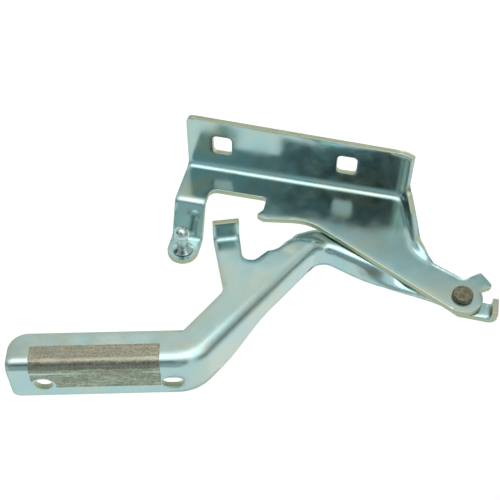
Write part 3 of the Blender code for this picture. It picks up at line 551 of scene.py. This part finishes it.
def makeTapeMaterial(look):
    material, tree = newMaterial("aged_metallised_tape")
    place = addNode(tree, "ShaderNodeTexCoord").outputs["Object"]
    turned = addNode(tree, "ShaderNodeMapping", {"Rotation": (0, armTilt, 0)}, {"Vector": place})
    stretched = addNode(tree, "ShaderNodeMapping", {"Scale": [1 / size for size in look["streakSize"]]},
                        {"Vector": turned})
    streaks = addNode(tree, "ShaderNodeTexNoise", {"Scale": 1.0, "Detail": 5.0, "Roughness": 0.65},
                      {"Vector": stretched})
    speckle = addNode(tree, "ShaderNodeTexNoise",
                      {"Scale": 1 / look["speckleSize"], "Detail": 3.0, "Roughness": 0.7},
                      {"Vector": turned})
    skin = addNode(tree, "ShaderNodeMath", {"operation": "MULTIPLY_ADD", 1: look["streakShare"]},
                   {0: streaks, 2: speckle})
    depth = addNode(tree, "ShaderNodeSeparateXYZ", {}, {0: turned}).outputs["Y"]
    onFlange = addNode(tree, "ShaderNodeMapRange",
                       {"From Min": look["flangeFrom"][0], "From Max": look["flangeFrom"][1]},
                       {"Value": depth})
    crease = addCreases(tree, look, turned, onFlange)
    # the skin's contrast is lowered about the middle shade, and the creases come on top
    contrast = addNode(tree, "ShaderNodeMapRange",
                       {"To Min": look["webContrast"], "To Max": look["flangeContrast"]},
                       {"Value": onFlange})
    middle = look["shades"][1][0]
    spread = addNode(tree, "ShaderNodeMath", {"operation": "SUBTRACT", 1: middle}, {0: skin})
    calmed = addNode(tree, "ShaderNodeMath", {"operation": "MULTIPLY"}, {0: spread, 1: contrast})
    levelled = addNode(tree, "ShaderNodeMath", {"operation": "ADD", 1: middle}, {0: calmed})
    shade = addNode(tree, "ShaderNodeMath", {"operation": "ADD"}, {0: levelled, 1: crease})
    colour = fillRamp(addNode(tree, "ShaderNodeValToRGB", links={"Fac": shade}), look["shades"])
    colour = addNode(tree, "ShaderNodeMixRGB",
                     {"blend_type": "MULTIPLY", "Color2": linear(look["flangeTint"])},
                     {"Fac": onFlange, "Color1": colour})
    colour = addSplits(tree, look, turned, streaks, colour)
    rough = addNode(tree, "ShaderNodeMapRange",
                    {**noiseSpan, "To Min": look["roughness"][0], "To Max": look["roughness"][1]},
                    {"Value": speckle})
    relief = addNode(tree, "ShaderNodeMath", {"operation": "ADD"}, {0: skin, 1: crease})
    bump = addNode(tree, "ShaderNodeBump",
                   {"Strength": look["relief"]["strength"], "Distance": look["relief"]["height"]},
                   {"Height": relief})
    shader = addNode(tree, "ShaderNodeBsdfPrincipled", {"Metallic": look["metallic"]},
                     {"Base Color": colour, "Roughness": rough, "Normal": bump})
    addNode(tree, "ShaderNodeOutputMaterial", links={"Surface": shader})
    return material


makeTape(makeTapeMaterial(tapeLook))
print("tape done")


# The floor is pale matt paint. Metal sees it in light and grey bands, with a dark mat far out.
floorLook = {
    "z": -0.32,
    "size": 8.0,
    "paint": "#c4c6c4",
    "lift": "#d9d9d9",       # added for the camera alone: the open floor is white and a shadow still shows
    "bandsToward": (-0.25, 1.0, 0.0),
    "bandsFrom": (-1.0, 1.0),
    "bands": [(0.05, "#ccd0cc"), (0.15, "#dfe1dc"), (0.20, "#e8e9e4"), (0.235, "#fbfbf6"),
              (0.255, "#f8f9f4"), (0.295, "#c2ccca"), (0.32, "#9badaf"), (0.36, "#b2c3c4"),
              (0.40, "#f2f6f5"), (0.52, "#f8faf8")],
    "matAt": (-1.9, 0.2, -0.32),
    "matFade": (0.70, 1.15),   # radii where the mat begins to fade and ends
    "mat": "#4f4b42",
}


def makeFloorPaint(look):
    material, tree = newMaterial("pale_matt_paint")
    path = addNode(tree, "ShaderNodeLightPath")
    place = addNode(tree, "ShaderNodeTexCoord").outputs["Object"]
    ahead = addNode(tree, "ShaderNodeVectorMath", {"operation": "DOT_PRODUCT", 1: look["bandsToward"]},
                    {0: place})
    depth = addNode(tree, "ShaderNodeMapRange",
                    {"From Min": look["bandsFrom"][0], "From Max": look["bandsFrom"][1]},
                    {"Value": ahead.outputs["Value"]})
    shade = fillRamp(addNode(tree, "ShaderNodeValToRGB", links={"Fac": depth}), look["bands"])
    away = addNode(tree, "ShaderNodeVectorMath", {"operation": "DISTANCE", 1: look["matAt"]}, {0: place})
    covered = addNode(tree, "ShaderNodeMapRange",
                      {"From Min": look["matFade"][0], "From Max": look["matFade"][1],
                       "To Min": 1.0, "To Max": 0.0}, {"Value": away.outputs["Value"]})
    shade = addNode(tree, "ShaderNodeMixRGB", {"Color2": linear(look["mat"])},
                    {"Fac": covered, "Color1": shade})
    paint = addNode(tree, "ShaderNodeBsdfDiffuse", {"Color": linear(look["paint"])})
    lift = addNode(tree, "ShaderNodeEmission", {"Color": linear(look["lift"])},
                   {"Strength": path.outputs["Is Camera Ray"]})
    seen = addNode(tree, "ShaderNodeAddShader", {}, {0: paint, 1: lift})
    mirrored = addNode(tree, "ShaderNodeEmission", {}, {"Color": shade})
    both = addNode(tree, "ShaderNodeMixShader", {}, {0: path.outputs["Is Glossy Ray"], 1: seen, 2: mirrored})
    addNode(tree, "ShaderNodeOutputMaterial", links={"Surface": both})
    return material


def makeFloor(look):
    bm = bmesh.new()
    half = look["size"] / 2
    corners = [(-half, -half), (half, -half), (half, half), (-half, half)]
    bm.faces.new([bm.verts.new((x, y, look["z"])) for x, y in corners])
    mesh = bpy.data.meshes.new("studio_floor")
    bm.to_mesh(mesh)
    bm.free()
    mesh.materials.append(makeFloorPaint(look))
    floor = bpy.data.objects.new("studio_floor", mesh)
    bpy.context.scene.collection.objects.link(floor)


# The room round it: light walls, then a ceiling that is dark at its rim, by the cosine to its middle
roomLook = {
    "ceilingToward": (0.05, -0.37, 0.93),
    "stops": [(0.76, "#e9f3f3"), (0.79, "#7d766c"), (0.83, "#7d766c"), (0.90, "#a3b8c0")],
    "background": "#ffffff",   # what the camera sees
    # dark patches of the room: direction, cosines where each fades out and in, share, colour
    "patches": [
        {"toward": (-0.97, -0.20, 0.05), "fade": (0.80, 0.93), "share": 0.85, "colour": "#4a443c"},
        {"toward": (-0.024, -0.694, 0.719), "fade": (0.978, 0.9914), "share": 0.97, "colour": "#0b1216"},
        {"toward": (0.874, -0.389, 0.292), "fade": (0.9135, 0.97), "share": 0.95, "colour": "#141d22"},
    ],
}


def addCosine(tree, direction, toward):
    # how closely a ray's direction agrees with a fixed one
    fixed = Vector(toward).normalized()
    node = addNode(tree, "ShaderNodeVectorMath", {"operation": "DOT_PRODUCT", 1: fixed}, {0: direction})
    return node.outputs["Value"]


def makeRoom(look):
    world = bpy.data.worlds.new("studio_room")
    bpy.context.scene.world = world
    world.use_nodes = True
    tree = world.node_tree
    tree.nodes.clear()
    direction = addNode(tree, "ShaderNodeTexCoord").outputs["Generated"]
    overhead = addCosine(tree, direction, look["ceilingToward"])
    room = fillRamp(addNode(tree, "ShaderNodeValToRGB", links={"Fac": overhead}), look["stops"])
    for patch in look["patches"]:
        shadow = addNode(tree, "ShaderNodeMapRange",
                         {"From Min": patch["fade"][0], "From Max": patch["fade"][1],
                          "To Max": patch["share"]}, {"Value": addCosine(tree, direction, patch["toward"])})
        room = addNode(tree, "ShaderNodeMixRGB", {"Color2": linear(patch["colour"])},
                       {"Fac": shadow, "Color1": room})
    path = addNode(tree, "ShaderNodeLightPath")
    colour = addNode(tree, "ShaderNodeMixRGB", {"Color2": linear(look["background"])},
                     {"Fac": path.outputs["Is Camera Ray"], "Color1": room})
    glow = addNode(tree, "ShaderNodeBackground", {"Strength": 1.0}, {"Color": colour})
    addNode(tree, "ShaderNodeOutputWorld", links={"Surface": glow})


# Two softboxes in front and a small one below. Radiance is what a mirror would show, size is width and
# height in metres, and roll is in degrees.
lamps = {
    "frontSoftbox": {"at": (0.04, -0.75, 0.045), "aim": (0.04, 0.0, 0.045), "roll": -4,
                     "size": (0.70, 0.57), "radiance": 1.35, "colour": "#ffffff"},
    "farSoftbox": {"at": (-1.15, -0.75, 0.32), "aim": (-1.15, 0.0, 0.32), "roll": 0,
                   "size": (1.6, 0.50), "radiance": 0.7, "colour": "#ffffff"},
    "lowSoftbox": {"at": (-0.045, -0.08, -0.30), "aim": (-0.045, -0.08, 0.0), "roll": 0,
                   "size": (0.31, 0.18), "radiance": 1.4, "colour": "#ffffff"},
}


def makeLamp(name, look):
    data = bpy.data.lights.new(name, "AREA")
    data.shape = "RECTANGLE"
    data.size, data.size_y = look["size"]
    data.energy = look["radiance"] * math.pi * data.size * data.size_y
    data.color = linear(look["colour"])[:3]
    lamp = bpy.data.objects.new(name, data)
    ahead = (Vector(look["aim"]) - Vector(look["at"])).normalized()
    roll = Matrix.Rotation(math.radians(look["roll"]), 3, "Z").to_quaternion()
    turn = ahead.to_track_quat("-Z", "Y") @ roll
    lamp.matrix_world = Matrix.Translation(look["at"]) @ turn.to_matrix().to_4x4()
    bpy.context.scene.collection.objects.link(lamp)


# The photograph's own camera, fitted to the hinge, which it shows upside down
photoCamera = {
    "at": (-0.0706, -0.4029, 0.4264),
    "right": (-0.9756, -0.0045, -0.2195),
    "ahead": (0.1398, 0.7581, -0.6370),
    "focalPixels": 894, "widthPixels": 500,
    "sensorWidth": 36.0,   # mm
    "clipStart": 0.01,
}


def makeCamera(look):
    data = bpy.data.cameras.new("photo_camera")
    data.sensor_width = look["sensorWidth"]
    data.lens = look["focalPixels"] / look["widthPixels"] * look["sensorWidth"]
    data.clip_start = look["clipStart"]
    camera = bpy.data.objects.new("photo_camera", data)
    right = Vector(look["right"]).normalized()
    ahead = Vector(look["ahead"]).normalized()
    up = right.cross(ahead).normalized()
    turn = Matrix((right, up, -ahead)).transposed().to_4x4()
    camera.matrix_world = Matrix.Translation(look["at"]) @ turn
    bpy.context.scene.collection.objects.link(camera)
    bpy.context.scene.camera = camera


makeFloor(floorLook)
makeRoom(roomLook)
for lampName, lampLook in lamps.items():
    makeLamp(lampName, lampLook)
makeCamera(photoCamera)
bpy.context.scene.view_settings.view_transform = "Standard"
print("studio done")
